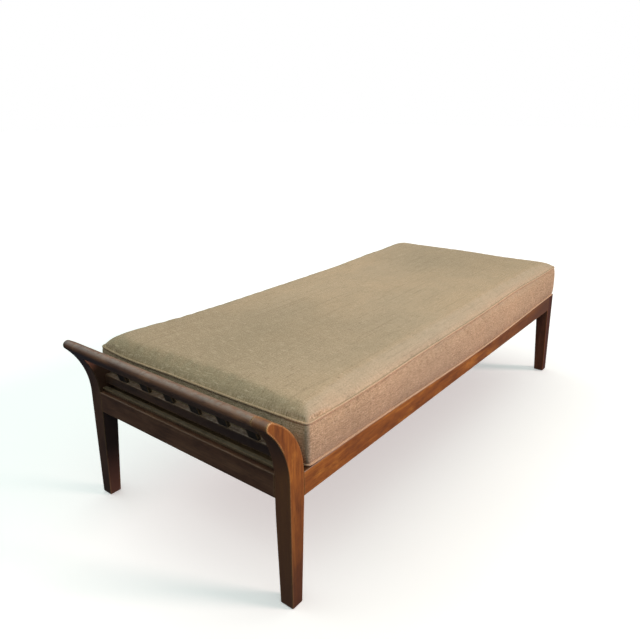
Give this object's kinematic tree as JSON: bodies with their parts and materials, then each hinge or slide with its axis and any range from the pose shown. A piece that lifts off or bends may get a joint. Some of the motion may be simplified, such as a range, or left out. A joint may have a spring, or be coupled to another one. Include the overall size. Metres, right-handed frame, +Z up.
{
  "type": "daybed",
  "caption": "Low wooden daybed with square tapered legs, flat rails, an outward-flaring slatted head end and one loose box mattress.",
  "frame": {"origin": "middle of the footprint, on the floor", "axes": "+X along the bed towards the foot end (the flared head end is at -X), +Y to the left seen from the head end, +Z up"},
  "size_m": [1.901, 0.812, 0.545],
  "materials": {
    "frame_wood": "satin",
    "deck_wood": "matte",
    "screw_steel": "satin",
    "mattress_cover": "matte"
  },
  "bodies": {
    "frame": {"head_post_right": "frame_wood", "head_post_left": "frame_wood", "foot_leg_right": "frame_wood", "foot_leg_left": "frame_wood", "side_rail_right": "frame_wood", "side_rail_left": "frame_wood", "head_rail": "frame_wood", "foot_rail": "frame_wood", "head_ledge": "frame_wood", "gallery_rail": "frame_wood", "gallery_slat_1": "frame_wood", "gallery_slat_2": "frame_wood", "gallery_slat_3": "frame_wood", "gallery_slat_4": "frame_wood", "gallery_slat_5": "frame_wood", "gallery_slat_6": "frame_wood", "crest_rail": "frame_wood", "cleat_right": "deck_wood", "cleat_left": "deck_wood", "deck_slat_01": "deck_wood", "deck_slat_02": "deck_wood", "deck_slat_03": "deck_wood", "deck_slat_04": "deck_wood", "deck_slat_05": "deck_wood", "deck_slat_06": "deck_wood", "deck_slat_07": "deck_wood", "deck_slat_08": "deck_wood", "deck_slat_09": "deck_wood", "deck_slat_10": "deck_wood", "deck_slat_11": "deck_wood", "deck_slat_12": "deck_wood", "deck_slat_13": "deck_wood", "deck_screws": "screw_steel", "cleat_screws": "screw_steel"},
    "mattress": {"mattress": "mattress_cover"}
  },
  "joints": [
    {"name": "mattress_lift", "type": "slide", "parent": "frame", "child": "mattress", "axis": [0, 0, 1], "range_m": [0, 0.3]}
  ]
}
